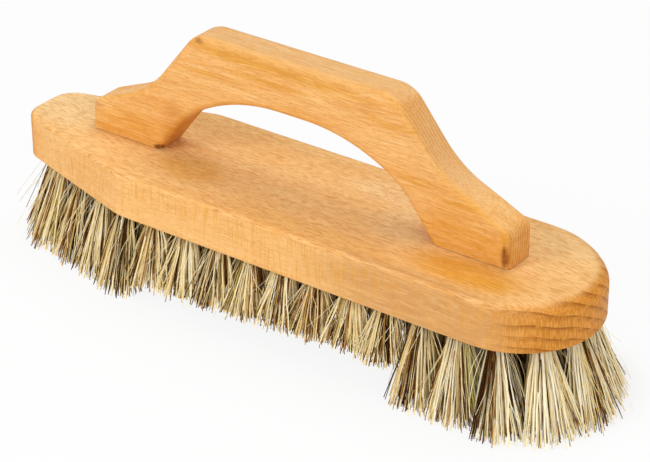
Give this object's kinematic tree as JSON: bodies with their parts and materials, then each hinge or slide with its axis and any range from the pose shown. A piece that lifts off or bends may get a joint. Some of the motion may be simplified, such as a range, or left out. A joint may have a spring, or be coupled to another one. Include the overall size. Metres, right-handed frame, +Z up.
{
  "type": "hand brush",
  "caption": "Beech scrubbing brush with an arched bridge handle on a tapered block and mixed plant-fibre tufts, longer at both ends.",
  "frame": {"origin": "on the surface the long tufts stand on, under the middle of the whole brush", "axes": "+X along the brush towards the round heel, +Y across the brush, +Z up from the tufts to the handle"},
  "size_m": [0.3012, 0.0837, 0.1161],
  "materials": {
    "block_wood": "oiled",
    "handle_wood": "oiled",
    "screw_metal": "zinc plated",
    "tuft_fibre": "natural plant fibre"
  },
  "bodies": {
    "root": {"block": "block_wood", "handle": "handle_wood", "screw_nose": "screw_metal", "screw_heel": "screw_metal", "tuft_outer_01": "tuft_fibre", "tuft_outer_02": "tuft_fibre", "tuft_outer_03": "tuft_fibre", "tuft_outer_04": "tuft_fibre", "tuft_outer_05": "tuft_fibre", "tuft_outer_06": "tuft_fibre", "tuft_outer_07": "tuft_fibre", "tuft_outer_08": "tuft_fibre", "tuft_outer_09": "tuft_fibre", "tuft_outer_10": "tuft_fibre", "tuft_outer_11": "tuft_fibre", "tuft_outer_12": "tuft_fibre", "tuft_outer_13": "tuft_fibre", "tuft_outer_14": "tuft_fibre", "tuft_outer_15": "tuft_fibre", "tuft_outer_16": "tuft_fibre", "tuft_outer_17": "tuft_fibre", "tuft_outer_18": "tuft_fibre", "tuft_outer_19": "tuft_fibre", "tuft_outer_20": "tuft_fibre", "tuft_outer_21": "tuft_fibre", "tuft_outer_22": "tuft_fibre", "tuft_outer_23": "tuft_fibre", "tuft_outer_24": "tuft_fibre", "tuft_outer_25": "tuft_fibre", "tuft_outer_26": "tuft_fibre", "tuft_outer_27": "tuft_fibre", "tuft_outer_28": "tuft_fibre", "tuft_outer_29": "tuft_fibre", "tuft_outer_30": "tuft_fibre", "tuft_outer_31": "tuft_fibre", "tuft_outer_32": "tuft_fibre", "tuft_outer_33": "tuft_fibre", "tuft_outer_34": "tuft_fibre", "tuft_inner_01": "tuft_fibre", "tuft_inner_02": "tuft_fibre", "tuft_inner_03": "tuft_fibre", "tuft_inner_04": "tuft_fibre", "tuft_inner_05": "tuft_fibre", "tuft_inner_06": "tuft_fibre", "tuft_inner_07": "tuft_fibre", "tuft_inner_08": "tuft_fibre", "tuft_inner_09": "tuft_fibre", "tuft_inner_10": "tuft_fibre", "tuft_inner_11": "tuft_fibre", "tuft_inner_12": "tuft_fibre", "tuft_inner_13": "tuft_fibre", "tuft_inner_14": "tuft_fibre", "tuft_inner_15": "tuft_fibre", "tuft_inner_16": "tuft_fibre", "tuft_inner_17": "tuft_fibre", "tuft_inner_18": "tuft_fibre", "tuft_inner_19": "tuft_fibre", "tuft_inner_20": "tuft_fibre", "tuft_inner_21": "tuft_fibre", "tuft_inner_22": "tuft_fibre"}
  },
  "joints": []
}
